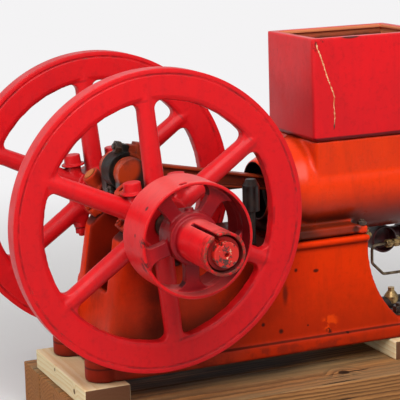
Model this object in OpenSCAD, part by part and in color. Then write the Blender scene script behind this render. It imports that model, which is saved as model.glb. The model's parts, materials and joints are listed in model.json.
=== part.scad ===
// Hit-and-miss engine: a single horizontal cylinder, open crank, on timber blocks.
// X runs along the cylinder (crank end at -X), Y along the crankshaft, Z up.
// The origin is on the floor, under the crankshaft axis, in the plane of the cylinder.

/* [Crankshaft and flywheels] */
// Outer radius of a flywheel
wheel_r = 280; // [230:1:340]
// Width of the flywheel rim
rim_w = 35.6; // [28:0.2:50]
// Depth of the flywheel rim, face edge to inner edge
rim_depth = 56; // [44:1:68]
// Gap between the timing case and the hub of the flywheel beside it
hub_gap = 6; // [4:0.5:16]
// Length of a flywheel hub
hub_l = 71; // [60:1:84]
// Radius of a spoke where it leaves the hub
spoke_hub_r = 19.5; // [15:0.5:24]
// Radius of a spoke at the rim
spoke_rim_r = 16.5; // [12:0.5:21]
// Fillet between a spoke and the rim, seen from the side
spoke_fillet = 14; // [8:1:20]
// Turn of the spokes from upright
wheel_phase = 5.5; // [0:0.5:30]
// Radius of the crankshaft
shaft_r = 22.2; // [18:0.1:24]
// Crank throw, half of the stroke
crank_r = 69; // [60:1:74]
// Angle of the crankpin at rest
crank_rest = 94; // [80:1:100]
// Radius of the crankpin
pin_r = 24; // [20:0.5:26]
// Lean of the split main bearings, back from the cylinder
bearing_lean = 40; // [30:1:45]

/* [Belt pulley] */
// Outer radius of the belt pulley
pulley_r = 103; // [85:1:125]
// Face width of the belt pulley
pulley_w = 94; // [75:1:112]
// Number of pulley arms
pulley_arms = 5; // [4:1:6]
// Width of a pulley arm
pulley_arm_w = 26; // [18:1:32]
// Fillet between a pulley arm and the rim
pulley_fillet = 18; // [8:1:22]

/* [Cylinder and hopper] */
// Bore radius
bore_r = 54; // [50:0.5:58]
// Outer radius of the water jacket
jacket_r = 100; // [92:1:110]
// Distance from the water jacket to the pushrod beside it
pushrod_gap = 18; // [14:1:26]
// Length of the connecting rod between its two pins
rod_l = 381; // [360:1:420]
// Length of the water hopper
hopper_l = 268; // [220:1:300]
// Width of the water hopper
hopper_w = 203; // [180:1:230]
// Height of the water hopper
hopper_h = 200; // [160:1:240]
// Thickness of the hopper walls
hopper_t = 10; // [7:0.5:14]
// Radius of the hopper's upright corners
hopper_corner = 7; // [3:0.5:12]
// Slope cut from the bottom edge of the hopper
hopper_cut = 7; // [4:0.5:9]

/* [Base and timbers] */
// Height of the crankshaft above the bottom of the base
base_h = 304; // [295:1:340]
// Thickness of the base walls
base_t = 12; // [8:0.5:16]
// Radius of the upright corners of the base
base_corner = 25; // [15:1:32]
// Lean of the crank end of the base, outward run for each unit of depth
base_lean = 0.155; // [0.08:0.005:0.2]
// Radius of the ears that the hold-down bolts go through
ear_r = 33; // [26:1:34]
// Height of those ears
ear_h = 40; // [32:1:50]
// Thickness of the cross blocks
block_t = 38; // [30:1:50]
// Width of the cross blocks
block_w = 89; // [70:1:110]
// Thickness of the long timbers
timber_t = 89; // [60:1:110]

/* [Hidden] */
$fn = 96;

red = "firebrick";
orange = "orangered";
iron = "dimgray";
brass = "goldenrod";
pine = "burlywood";

fit = 0.05;
seat = 0.3;
pushrod_y = jacket_r + pushrod_gap;
pushrod_z = -12;
pushrod_r = 6.5;
case_in = pushrod_y - 10;
case_out = pushrod_y + 10;
case_x = 78;
case_z = -18;
case_r = 52;
base_low = -base_h;
axis_up = base_h + block_t + timber_t;
half_w = case_out;
wall_y = half_w - 8;
base_x1 = 575;
lip_x1 = 457;
lip_top = -86;
lip_h = 12;
lip_low = lip_top - lip_h;
flange_h = 26;
flange_top = base_low + flange_h;
ear_x = -96;
ear_y = half_w - ear_r - 1;
pit_r = crank_r + 69;
pit_low = -crank_r - 81;
curve_top = -110;
curve_run = 84;
curve_h = curve_top - flange_top;
curve_r = (curve_h * curve_h + curve_run * curve_run) / (2 * curve_run);
curve = asin(curve_h / curve_r);
bearing_in = 60;
bearing_out = case_out - 6;
bearing_out_far = case_in - 4;
valve_y = 26;
mixer_x = 557;
mixer_z = -jacket_r - 31;
mixer_y = 40;
outlet_y = -20;
outlet_z = base_low + 43;
fuel_y = -20;
fuel_z = mixer_z - 6;
fuel_low = mixer_z - 69;
oiler_x = 224;
oiler_y = -80;
bearing_r = 42;
cap_half = bearing_r + 10;  // half length of a bearing cap's flange
web_in = 26;
web_out = 52;
web_r = 30;
hub_r = 48;
hub_in = case_out + hub_gap;
hub_out = hub_in + hub_l;
wheel_y = hub_in + 32.4;
rim_in = wheel_r - rim_depth;
half_rim = rim_w / 2;
bolt_x = 43;
pulley_front = -hub_out - 141;
pulley_back = pulley_front + pulley_w;
pulley_end = pulley_front - 112;
pulley_hub_r = 46;
arm_y = pulley_front + 38;
slot_turn = -25;
shaft_near = pulley_end - 7;
shaft_far = hub_out + 27;
pin_x = crank_r * cos(crank_rest);
pin_z = crank_r * sin(crank_rest);
wrist_x = pin_x + sqrt(rod_l * rod_l - pin_z * pin_z);
rod_rest = asin(pin_z / rod_l);
wrist_r = 14;
mouth_x = 269;
head_x = 622;
hopper_x0 = 351;
hopper_z = jacket_r + 1;
throat = hopper_t + hopper_cut + 1;
elbow_z = jacket_r + 52;
timber_x0 = -160;
timber_x1 = 602;

// Lays a shape drawn in X and Z flat between two Y values.
module slab(y0, y1) {
    translate([0, y1, 0])
        rotate([90, 0, 0])
            linear_extrude(height = y1 - y0)
                children();
}

// A round bar along Y.
module bar_y(r, y0, y1) {
    translate([0, y1, 0])
        rotate([90, 0, 0])
            cylinder(r = r, h = y1 - y0);
}

// A round bar along X.
module bar_x(r, x0, x1) {
    translate([x0, 0, 0])
        rotate([0, 90, 0])
            cylinder(r = r, h = x1 - x0);
}

// A quarter of a bent round bar in the XZ plane, centred on the origin of the bend; from is its
// first angle, measured from +X towards +Z.
module bend(r, turn, from) {
    rotate([90, 0, 0])
        rotate([0, 0, from])
            rotate_extrude(angle = 90)
                translate([turn, 0])
                    circle(r = r);
}

// A round bar between two points of the XZ plane.
module strut(r, a, b) {
    translate([a[0], 0, a[1]])
        rotate([0, atan2(b[0] - a[0], b[1] - a[1]), 0])
            cylinder(r = r, h = norm(b - a));
}

// A box given by its low and high corners.
module span(low, high) {
    translate(low)
        cube(high - low);
}

// A hexagon nut standing on Z.
module hex(across, h) {
    cylinder(r = across / sqrt(3), h = h, $fn = 6);
}

function arc_points(cx, cz, r, a0, a1, n) =
    [for (i = [0 : n]) let (a = a0 + (a1 - a0) * i / n) [cx + r * cos(a), cz + r * sin(a)]];

// Rectangle with its own radius at each corner: right front, right back, left back, left front.
function box_outline(low, high, r, n = 5) = concat(
    arc_points(high[0] - r[0], low[1] + r[0], r[0], -90, 0, n),
    arc_points(high[0] - r[1], high[1] - r[1], r[1], 0, 90, n),
    arc_points(low[0] + r[2], high[1] - r[2], r[2], 90, 180, n),
    arc_points(low[0] + r[3], low[1] + r[3], r[3], 180, 270, n));

// The open space between two arms of a wheel, about +X: half an arm's width from each
// arm, with its corners rounded at the hub and at the rim.
function window_outline(arms, half_arm, in_r, in_f, out_r, out_f, n = 4) =
    let (
        half = 180 / arms,
        a = half - asin((half_arm + out_f) / (out_r - out_f)),
        b = half - asin((half_arm + in_f) / (in_r + in_f)),
        out_c = (out_r - out_f) * [cos(a), sin(a)],
        in_c = (in_r + in_f) * [cos(b), sin(b)])
    concat(
        arc_points(0, 0, out_r, -a * 0.8, a * 0.8, n),
        arc_points(out_c[0], out_c[1], out_f, a, half + 90, n),
        arc_points(in_c[0], in_c[1], in_f, half + 90, b + 180, n),
        arc_points(in_c[0], -in_c[1], in_f, 180 - b, 270 - half, n),
        arc_points(out_c[0], -out_c[1], out_f, 270 - half, 360 - a, n));

// A flat wheel body, one arm upright: a disc that runs a little into the rim, with the
// windows between its arms cut away.
module spider(arms, half_arm, in_r, in_f, out_r, out_f) {
    difference() {
        circle(r = out_r + 4);
        for (i = [0 : arms - 1])
            rotate(90 + (i + 0.5) * 360 / arms)
                polygon(window_outline(arms, half_arm, in_r, in_f, out_r, out_f));
    }
}

// The engine's own height above the floor.
module up() {
    translate([0, 0, axis_up])
        children();
}

// ---- timbers ----

module timber(y0, y1) {
    color(pine)
        span([timber_x0, y0, 0], [timber_x1, y1, timber_t]);
}

module timber_near() {
    timber(-222, -83);
}

module timber_middle() {
    timber(-81, 103);
}

module timber_far() {
    timber(105, 205);
}

module cross_block(x0) {
    color(pine)
        span([x0, -148, timber_t], [x0 + block_w, 148, timber_t + block_t]);
}

module block_crank_end() {
    cross_block(-150);
}

module block_head_end() {
    cross_block(500);
}

// ---- base ----

// Where the leaning crank end of the base stands at a height z below the shaft.
function crank_end_x(z) = -48 + base_lean * z;

// A level slice through one end of the base, rounded at its outer upright corners.
module base_slice(z, x1, y0, y1, r) {
    translate([0, 0, z - 0.5])
        linear_extrude(height = 0.5)
            polygon(box_outline([crank_end_x(z), y0], [x1, y1], r));
}

// Closed lower part of the crank end, under the pit.
module crank_end() {
    r = [1, 1, base_corner, base_corner];
    hull() {
        base_slice(pit_low, 150, -wall_y, wall_y, r);
        base_slice(flange_top, 150, -wall_y, wall_y, r);
    }
}

// One of the two columns that carry the main bearings.
module pedestal(outer) {
    r = [6, base_corner, base_corner, 6];
    hull() {
        base_slice(-4, 40, bearing_in - 1, outer, r);
        base_slice(pit_low, 50, bearing_in - 1, (outer + wall_y) / 2, r);
    }
    bar_y(bearing_r, bearing_in, outer);
    rotate([0, -bearing_lean, 0])
        span([-cap_half, bearing_in + 6, -18], [cap_half, outer - 6, 0]);
}

module base_side_shape() {
    polygon(concat(
        [[0, base_low + 1], [0, lip_low], [lip_x1, lip_low]],
        arc_points(lip_x1 + curve_r, curve_top, curve_r, 180, 180 + curve, 14)));
}

module base() {
    color(orange)
        up()
            difference() {
                union() {
                    translate([0, 0, base_low])
                        linear_extrude(height = flange_h)
                            polygon(box_outline([crank_end_x(flange_top), -half_w],
                                [base_x1, half_w], [6, 6, 20, 20]));
                    for (x = [ear_x, base_x1 - ear_r - 1])
                        for (s = [-1, 1])
                            translate([x, s * ear_y, base_low])
                                cylinder(r = ear_r, h = ear_h);
                    slab(-wall_y, wall_y)
                        base_side_shape();
                    span([60, -half_w, lip_low], [lip_x1, half_w, lip_top]);
                    crank_end();
                    pedestal(bearing_out_far);
                    mirror([0, 1, 0])
                        pedestal(bearing_out);
                }
                // crank pit, open at its end, then the hollow under the cylinder
                span([-pit_r, -bearing_in, pit_low], [pit_r, bearing_in, 60]);
                span([-58, -wall_y + base_t, -270], [420, wall_y - base_t, -150]);
                span([-70, -wall_y + base_t, base_low - 1], [480, wall_y - base_t, -220]);
                span([150, -wall_y + base_t, -151], [lip_x1 - 24, wall_y - base_t, lip_low]);
                span([300, -wall_y + base_t, -151], [lip_x1 - 24, wall_y - base_t, lip_top + 1]);
                bar_x(jacket_r + seat, mouth_x, head_x);
                translate([0, outlet_y, outlet_z])
                    bar_x(13 + seat, 440, 640);
                bar_y(shaft_r + fit, -half_w - 1, half_w + 1);
                rotate([0, -bearing_lean, 0])
                    span([-90, -half_w - 1, 0], [90, half_w + 1, 120]);
                for (x = [ear_x, base_x1 - ear_r - 1])
                    for (s = [-1, 1])
                        translate([x, s * ear_y, base_low - 1])
                            cylinder(r = 8, h = ear_h + 2);
            }
}

// Split bearing cap, leaning back from the cylinder.
module bearing_cap(outer) {
    color(orange)
        up()
            rotate([0, -bearing_lean, 0])
                difference() {
                    union() {
                        bar_y(bearing_r, bearing_in, outer);
                        span([-cap_half, bearing_in + 6, 0], [cap_half, outer - 6, 18]);
                        translate([0, (bearing_in + outer) / 2, 30])
                            cylinder(r = 18, h = 38);
                    }
                    span([-90, bearing_in - 1, -60], [90, outer + 1, seat]);
                    bar_y(shaft_r + fit, bearing_in - 1, outer + 1);
                    translate([0, (bearing_in + outer) / 2, 58])
                        cylinder(r = 6, h = 12);
                }
}

module bearing_cap_near() {
    mirror([0, 1, 0])
        bearing_cap(bearing_out);
}

module bearing_cap_far() {
    bearing_cap(bearing_out_far);
}

// ---- cylinder and hopper ----

module cylinder_node() {
    color(orange)
        up()
            difference() {
                union() {
                    rotate([0, 90, 0])
                        rotate_extrude()
                            polygon([[bore_r, mouth_x + 4], [bore_r + 2, mouth_x],
                                [bore_r + 4, mouth_x], [bore_r + 6, mouth_x + 3],
                                [jacket_r - 28, mouth_x + 26], [jacket_r - 10, mouth_x + 50],
                                [jacket_r - 2, mouth_x + 72], [jacket_r, mouth_x + 90],
                                [jacket_r, head_x - seat], [bore_r, head_x - seat]]);
                    linear_extrude(height = hopper_z - seat)
                        polygon(box_outline([hopper_x0 + hopper_cut, hopper_cut - hopper_w / 2],
                            [head_x - seat, hopper_w / 2 - hopper_cut], [1, 1, 10, 10]));
                    // saddle: a pad on the base, a rib up to the barrel, and its bolting lugs
                    span([306, 15 - half_w, lip_top + seat], [440, half_w - 15, lip_top + 20]);
                    span([286, -78, lip_top + seat], [440, 78, -40]);
                    for (x = [300, lip_x1 - 9])
                        for (s = [-1, 1])
                            translate([x - 9, s * (half_w - 19) - 9, lip_top + seat])
                                cube([18, 18, 17]);
                }
                bar_x(bore_r, mouth_x - 1, head_x + 1);
                // water space around the barrel
                difference() {
                    union() {
                        bar_x(jacket_r - 9, mouth_x + 80, head_x - 14);
                        span([hopper_x0 + throat, -hopper_w / 2 + throat, 0],
                            [head_x - 14, hopper_w / 2 - throat, hopper_z + 1]);
                    }
                    bar_x(bore_r + 10, mouth_x, head_x);
                }
            }
}

// A level outline of the hopper, drawn in by some distance all round.
module hopper_outline(inset) {
    r = hopper_corner;
    polygon(box_outline([hopper_x0 + inset, inset - hopper_w / 2],
        [hopper_x0 + hopper_l - inset, hopper_w / 2 - inset], [r, r, r, r]));
}

// The room inside the hopper, drawn in by some distance from its outside.
module hopper_room(inset, z0, z1) {
    span([hopper_x0 + inset, inset - hopper_w / 2, z0],
        [hopper_x0 + hopper_l - inset, hopper_w / 2 - inset, z1]);
}

module hopper() {
    top = hopper_z + hopper_h;
    color(red)
        up()
            difference() {
                union() {
                    translate([0, 0, hopper_z + hopper_cut])
                        linear_extrude(height = hopper_h - hopper_cut)
                            hopper_outline(0);
                    hull() {
                        translate([0, 0, hopper_z])
                            linear_extrude(height = 0.5)
                                hopper_outline(hopper_cut);
                        translate([0, 0, hopper_z + hopper_cut])
                            linear_extrude(height = 0.5)
                                hopper_outline(0);
                    }
                }
                hopper_room(hopper_t, hopper_z + 14, top - 8);
                hopper_room(throat, hopper_z - 1, top);
                hopper_room(26, hopper_z, top + 1);
            }
}

module cylinder_head() {
    color(red)
        up()
            difference() {
                union() {
                    bar_x(jacket_r + 2, head_x, head_x + 44);
                    bar_x(64, head_x + 43, head_x + 58);
                }
                bar_x(bore_r - 7, head_x - 1, head_x + 14);
                for (s = [-1, 1])
                    translate([0, s * valve_y, 0])
                        bar_x(5 + fit, head_x, head_x + 60);
            }
}

// ---- valve gear ----

module valve(y) {
    color(iron)
        up()
            translate([0, y, 0]) {
                bar_x(5, head_x + 2, rocker_x - 7 - seat);
                bar_x(20, head_x + 2, head_x + 8);
                bar_x(13, head_x + 93, head_x + 98);
                for (i = [0 : 6])
                    translate([head_x + 61 + i * 5, 0, 0])
                        rotate([0, 90, 0])
                            rotate_extrude()
                                translate([7, 0])
                                    circle(r = 2.6, $fn = 20);
            }
}

module intake_valve() {
    valve(-valve_y);
}

module exhaust_valve() {
    valve(valve_y);
}

rocker_x = head_x + 112;
rocker_y = 78;

module rocker_bracket() {
    color(red)
        up()
            difference() {
                union() {
                    for (z = [-16, 9])
                        span([head_x + 44 + seat, 64, z], [rocker_x + 12, 92, z + 7]);
                    span([head_x + 44 + seat, 64, -16], [head_x + 56, 92, 16]);
                }
                translate([rocker_x, rocker_y, -20])
                    cylinder(r = 6 + fit, h = 40);
            }
}

module rocker_arm() {
    color(iron)
        up() {
            span([rocker_x - 7, valve_y - 10, -8], [rocker_x + 7, pushrod_y + 10, 8]);
            span([rocker_x - 7, pushrod_y - 10, pushrod_z - 8], [rocker_x + 7, pushrod_y + 10, 0]);
            translate([rocker_x, rocker_y, -16])
                cylinder(r = 6, h = 32);
        }
}

module pushrod() {
    color(iron)
        up()
            translate([0, pushrod_y, pushrod_z])
                bar_x(pushrod_r, case_x + case_r - 4, rocker_x - 7 - seat);
}

// Closed cover over the timing gears, outside the far bearing.
module timing_case() {
    color(orange)
        up()
            difference() {
                union() {
                    slab(case_in, case_out)
                        hull() {
                            circle(r = 36);
                            translate([case_x, case_z])
                                circle(r = case_r);
                        }
                    span([60, case_in, lip_top + seat], [106, case_out, case_z]);
                }
                bar_y(shaft_r + 5.2, case_in - 1, case_out + 1);
                translate([0, pushrod_y, pushrod_z])
                    bar_x(pushrod_r + fit, case_x + 40, case_x + 80);
            }
}

// ---- fittings ----

module mixer() {
    elbow_x = head_x + 4;
    color(iron)
        up()
            difference() {
                union() {
                    translate([mixer_x, 0, mixer_z])
                        bar_y(28, -8, mixer_y + 12);
                    translate([0, mixer_y, mixer_z])
                        bar_x(14, mixer_x, elbow_x);
                    translate([elbow_x, mixer_y, mixer_z + 18])
                        bend(14, 18, 270);
                    translate([elbow_x + 18, mixer_y, mixer_z + 18])
                        cylinder(r = 14, h = 40);
                    translate([0, mixer_y, mixer_z])
                        bar_x(17, head_x - 10, elbow_x + 1);
                }
                bar_x(jacket_r + 2 + seat, head_x - 20, head_x + 80);
                translate([mixer_x, 0, mixer_z])
                    bar_y(24, -9, 14);
            }
}

// A bead of solder round a knee of the pipe.
module knee_bead(r) {
    rotate_extrude()
        polygon([[0, -r], [r * 0.5, -r], [r, -r * 0.4], [r, r * 0.4], [r * 0.5, r], [0, r]]);
}

// The pipe leaves the mixer's inlet, slants down, and drops into the tank outlet.
module fuel_pipe() {
    pipe_r = 3;
    knees = [[520, fuel_z - 37], [546, fuel_low]];
    color(brass)
        up()
            translate([0, fuel_y, 0])
                difference() {
                    union() {
                        translate([0, 0, fuel_z])
                            bar_x(pipe_r, 534, 590);
                        translate([534, 0, fuel_z - 14])
                            bend(pipe_r, 14, 90);
                        strut(pipe_r, knees[0], [knees[0][0], fuel_z - 14]);
                        strut(pipe_r, knees[0], knees[1]);
                        for (knee = knees)
                            translate([knee[0], 0, knee[1]])
                                rotate([90, 0, 0])
                                    knee_bead(pipe_r + 0.5);
                        strut(pipe_r, knees[1], [600, fuel_low]);
                        translate([600, 0, fuel_low - 12])
                            bend(pipe_r, 12, 0);
                        translate([612, 0, outlet_z])
                            cylinder(r = pipe_r, h = fuel_low - 12 - outlet_z);
                        translate([612, 0, outlet_z + 10])
                            hex(13, 20);
                        for (x = [552, 570])
                            translate([x, 0, fuel_z])
                                rotate([0, 90, 0])
                                    hex(15, 13);
                        translate([mixer_x + 36 + seat, 0, fuel_z])
                            bar_y(8, -8, 40);
                    }
                    translate([0, 0, outlet_z])
                        bar_x(17 + seat, 590, 640);
                }
}

module tank_outlet() {
    color(iron)
        up()
            translate([0, outlet_y, outlet_z])
                union() {
                    bar_x(13, 470, 600);
                    bar_x(17, 596, 628);
                }
}

module fuel_valve() {
    color(brass)
        up()
            difference() {
                translate([564, outlet_y, outlet_z]) {
                    cylinder(r = 15, h = 13);
                    translate([0, 0, 13])
                        cylinder(r1 = 15, r2 = 8, h = 10);
                    translate([0, 0, 22])
                        hex(13, 9);
                }
                translate([0, outlet_y, outlet_z])
                    bar_x(13 + seat, 500, 600);
            }
}

module exhaust_elbow() {
    color(iron)
        up()
            difference() {
                union() {
                    translate([head_x + 24, 20, elbow_z - 72])
                        cylinder(r = 20, h = 46);
                    translate([head_x + 24, 20, elbow_z - 46])
                        cylinder(r = 24, h = 20);
                    translate([head_x + 50, 20, elbow_z - 26])
                        bend(20, 26, 90);
                    translate([0, 20, elbow_z])
                        bar_x(20, head_x + 50, head_x + 60);
                    translate([0, 20, elbow_z])
                        bar_x(24, head_x + 60, head_x + 78);
                }
                bar_x(jacket_r + 2 + seat, head_x - 20, head_x + 80);
                translate([0, 20, elbow_z])
                    bar_x(16, head_x + 52, head_x + 79);
            }
}

module spark_plug() {
    color(iron)
        up()
            translate([head_x + 22, 0, 0])
                difference() {
                    union() {
                        bar_y(9, -jacket_r - 52, -jacket_r);
                        translate([0, -jacket_r - 4, 0])
                            rotate([90, 0, 0])
                                hex(24, 12);
                    }
                    bar_x(jacket_r + 2 + seat, -30, 30);
                }
}

module drain_cock() {
    color(brass)
        up()
            difference() {
                union() {
                    translate([508, -20, -jacket_r - 24])
                        cylinder(r = 5, h = 40);
                    translate([508, -20, -jacket_r - 12])
                        bar_y(6, -10, 10);
                }
                bar_x(jacket_r + seat, 400, 600);
            }
}

// Upright oil pot in front of the mouth of the cylinder.
module mouth_oiler() {
    color(iron)
        up()
            translate([oiler_x, oiler_y, lip_top + seat]) {
                cylinder(r = 8, h = 70);
                translate([0, 0, 64])
                    cylinder(r = 16.5, h = 52);
                translate([0, 0, 116])
                    cylinder(r1 = 15, r2 = 10, h = 11);
            }
}

// ---- crankshaft ----

module web_shape() {
    circle(r = web_r);
    translate([pin_x, pin_z])
        circle(r = web_r);
    rotate(crank_rest - 90)
        translate([2 - web_r, 0])
            square([2 * web_r - 4, crank_r]);
}

module crankshaft_near() {
    color(iron)
        up()
            difference() {
                union() {
                    bar_y(shaft_r, shaft_near, -web_in);
                    slab(-web_out, -web_in)
                        web_shape();
                }
                // keyway and centre hole in the pulley's end
                rotate([0, slot_turn, 0])
                    span([-3, shaft_near - 1, shaft_r - 5], [3, shaft_near + 90, shaft_r + 1]);
                bar_y(4, shaft_near - 1, shaft_near + 9);
            }
}

module crankshaft_far() {
    color(iron)
        up() {
            bar_y(shaft_r, web_in, shaft_far);
            slab(web_in, web_out)
                web_shape();
        }
}

// Everything that is laid out with one spoke upright.
module wheel_turn() {
    up()
        rotate([0, -wheel_phase, 0])
            children();
}

// One side of the rim's section: bevel, sloping face, groove and outer lip.
rim_side = [
    [rim_in, half_rim - 7], [rim_in + 8, half_rim - 3],
    [wheel_r - 12, half_rim - 0.8], [wheel_r - 11.5, half_rim - 3],
    [wheel_r - 8.5, half_rim - 3], [wheel_r - 8, half_rim], [wheel_r, half_rim]];

module rim_shape() {
    last = len(rim_side) - 1;
    polygon(concat(rim_side, [for (i = [0 : last]) [rim_side[last - i][0], -rim_side[last - i][1]]]));
}

module flywheel() {
    color(red)
        wheel_turn()
            difference() {
                union() {
                    translate([0, wheel_y, 0])
                        rotate([90, 0, 0])
                            rotate_extrude($fn = 180)
                                rim_shape();
                    slab(wheel_y - half_rim + 6, wheel_y + half_rim - 6)
                        spider(6, spoke_rim_r - 2, hub_r, 5, rim_in - 1, spoke_fillet);
                    for (i = [0 : 5])
                        translate([0, wheel_y, 0])
                            rotate([0, i * 60, 0])
                                translate([0, 0, 30]) {
                                    cylinder(r1 = spoke_hub_r, r2 = spoke_rim_r, h = rim_in - 12);
                                    // the end of the spoke runs out on the rim's faces
                                    translate([0, 0, rim_in - 12])
                                        cylinder(r1 = spoke_rim_r, r2 = half_rim - 6, h = 16);
                                }
                    bar_y(hub_r, hub_in, hub_out);
                    for (s = [-1, 1]) {
                        translate([s * bolt_x, wheel_y, -66])
                            cylinder(r = 15, h = 126);
                        span([s * bolt_x - 14, wheel_y - 15, -52],
                            [s * bolt_x + 14, wheel_y + 15, 44]);
                    }
                }
                bar_y(shaft_r + fit, hub_in - 1, hub_out + 1);
                for (s = [-1, 1])
                    translate([s * bolt_x, wheel_y, -70])
                        cylinder(r = 8, h = 140);
                span([-80, hub_in - 1, -1.5], [-10, hub_out + 1, 1.5]);
            }
}

module flywheel_near() {
    mirror([0, 1, 0])
        flywheel();
}

module flywheel_far() {
    flywheel();
}

// Clamp bolts of a split hub, each with a wide capped head.
module hub_bolts() {
    color(red)
        wheel_turn()
            for (s = [-1, 1])
                translate([s * bolt_x, wheel_y, 0]) {
                    translate([0, 0, -84])
                        cylinder(r = 8 - seat, h = 146);
                    translate([0, 0, 60 + seat])
                        cylinder(r = 23, h = 4);
                    translate([0, 0, 64])
                        cylinder(r1 = 17, r2 = 16, h = 18);
                    translate([0, 0, -66 - seat - 12])
                        hex(24, 12);
                }
}

module hub_bolts_near() {
    mirror([0, 1, 0])
        hub_bolts();
}

module hub_bolts_far() {
    hub_bolts();
}

// ---- belt pulley ----

module pulley() {
    color(red)
        up()
            difference() {
                union() {
                    difference() {
                        bar_y(pulley_r, pulley_front, pulley_back);
                        bar_y(pulley_r - 6, pulley_front - 1, pulley_back + 1);
                    }
                    slab(arm_y - 9, arm_y + 9)
                        rotate(180)
                            spider(pulley_arms, pulley_arm_w / 2, pulley_hub_r + 1, 8,
                                pulley_r - 7, pulley_fillet);
                    bar_y(pulley_hub_r, pulley_front + 14, pulley_front + 70);
                    bar_y(38, pulley_end, pulley_front + 84);
                    translate([0, arm_y, 40])
                        cylinder(r = 8, h = 12);
                }
                bar_y(shaft_r + fit, pulley_end - 1, pulley_back + 60);
                bar_y(32, pulley_end - 1, pulley_end + 58);
                rotate([0, slot_turn, 0])
                    span([-3, pulley_end - 1, 0], [3, pulley_end + 102, 60]);
                rotate([0, slot_turn + 180, 0])
                    span([-1, pulley_end - 1, 0], [1, pulley_end + 78, 60]);
            }
}

module pulley_sleeve() {
    color(red)
        up()
            difference() {
                bar_y(29, pulley_end + 8, pulley_end + 58 - seat);
                bar_y(shaft_r + fit, pulley_end, pulley_end + 60);
                rotate([0, slot_turn, 0])
                    span([-4, pulley_end, 0], [4, pulley_end + 60, 60]);
            }
}

// ---- piston and connecting rod ----

module piston() {
    color(iron)
        up()
            translate([wrist_x, 0, 0])
                difference() {
                    bar_x(bore_r - 0.1, -60, 115);
                    bar_x(bore_r - 9, -61, 24);
                    span([-30, -25, -30], [30, 25, 30]);
                    bar_y(wrist_r + 0.02, -70, 70);
                    for (x = [74, 86, 98])
                        difference() {
                            bar_x(bore_r + 5, x, x + 5);
                            bar_x(bore_r - 3, x - 1, x + 6);
                        }
                }
}

module wrist_pin() {
    color(iron)
        up()
            translate([wrist_x, 0, 0])
                bar_y(wrist_r, 5 - bore_r, bore_r - 5);
}

// Laid out along X with the crank end at -rod_l, then swung up to the crankpin.
module rod_turn() {
    up()
        translate([wrist_x, 0, 0])
            rotate([0, rod_rest, 0])
                children();
}

module connecting_rod() {
    color(orange)
        rod_turn()
            difference() {
                union() {
                    bar_y(23, -20, 20);
                    slab(-4, 4)
                        polygon([[-12, -11], [-12, 11], [26 - rod_l, 17], [26 - rod_l, -17]]);
                    slab(-15, 15)
                        polygon([[-12, 7], [-12, 12], [26 - rod_l, 19], [26 - rod_l, 14]]);
                    slab(-15, 15)
                        polygon([[-12, -7], [-12, -12], [26 - rod_l, -19], [26 - rod_l, -14]]);
                    translate([-rod_l, 0, 0])
                        bar_y(36, -22, 22);
                    // ear that the cap is bolted to, and the shoulder behind it
                    span([1 - rod_l, -13, -50], [17 - rod_l, 13, 50]);
                    span([16 - rod_l, -16, -55], [32 - rod_l, 16, 55]);
                }
                bar_y(wrist_r + fit, -30, 30);
                translate([-rod_l, 0, 0])
                    bar_y(pin_r + fit, -30, 30);
                span([-rod_l - 90, -40, -80], [-rod_l + seat, 40, 80]);
            }
}

module rod_cap() {
    color(iron)
        rod_turn()
            difference() {
                union() {
                    translate([-rod_l, 0, 0])
                        bar_y(37, -22, 22);
                    span([-rod_l - 12, -13, -50], [-rod_l, 13, 50]);
                }
                translate([-rod_l, 0, 0])
                    bar_y(pin_r + fit, -30, 30);
                span([-rod_l, -40, -80], [-rod_l + 90, 40, 80]);
            }
}

module crankpin() {
    color(iron)
        rod_turn()
            translate([-rod_l, 0, 0])
                bar_y(pin_r, -web_in + 1, web_in - 1);
}

timber_near();
timber_middle();
timber_far();
block_crank_end();
block_head_end();
base();
bearing_cap_near();
bearing_cap_far();
cylinder_node();  // cylinder
hopper();
cylinder_head();
intake_valve();
exhaust_valve();
rocker_bracket();
rocker_arm();
pushrod();
timing_case();
mixer();
fuel_pipe();
tank_outlet();
fuel_valve();
exhaust_elbow();
spark_plug();
drain_cock();
mouth_oiler();
crankshaft_near();
crankshaft_far();
flywheel_near();
flywheel_far();
hub_bolts_near();
hub_bolts_far();
pulley();
pulley_sleeve();
piston();
wrist_pin();
connecting_rod();
rod_cap();
crankpin();
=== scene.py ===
# A hit-and-miss engine: red flywheels, pulley and hopper, orange base and cylinder, on timbers.
import bpy
import bmesh
import json
import math
import random
from functools import partial
from mathutils import Matrix, Vector, noise as lumps


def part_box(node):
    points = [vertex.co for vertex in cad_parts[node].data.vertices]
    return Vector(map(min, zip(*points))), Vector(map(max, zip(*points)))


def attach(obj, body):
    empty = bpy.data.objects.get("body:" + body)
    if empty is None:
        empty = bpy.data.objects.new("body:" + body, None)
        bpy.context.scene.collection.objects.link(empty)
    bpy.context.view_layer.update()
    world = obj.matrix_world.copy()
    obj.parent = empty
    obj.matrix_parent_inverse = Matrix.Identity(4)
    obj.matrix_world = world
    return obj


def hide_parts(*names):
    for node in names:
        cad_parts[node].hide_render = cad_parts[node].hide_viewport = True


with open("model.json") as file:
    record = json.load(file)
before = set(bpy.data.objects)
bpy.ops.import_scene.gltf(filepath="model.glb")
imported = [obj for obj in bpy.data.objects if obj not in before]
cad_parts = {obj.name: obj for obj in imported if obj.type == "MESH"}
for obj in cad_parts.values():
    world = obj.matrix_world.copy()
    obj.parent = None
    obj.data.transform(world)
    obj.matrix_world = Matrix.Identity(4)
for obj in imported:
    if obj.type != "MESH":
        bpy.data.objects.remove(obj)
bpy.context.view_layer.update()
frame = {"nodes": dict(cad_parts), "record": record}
print("frame loaded,", len(frame["nodes"]), "nodes")

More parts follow.
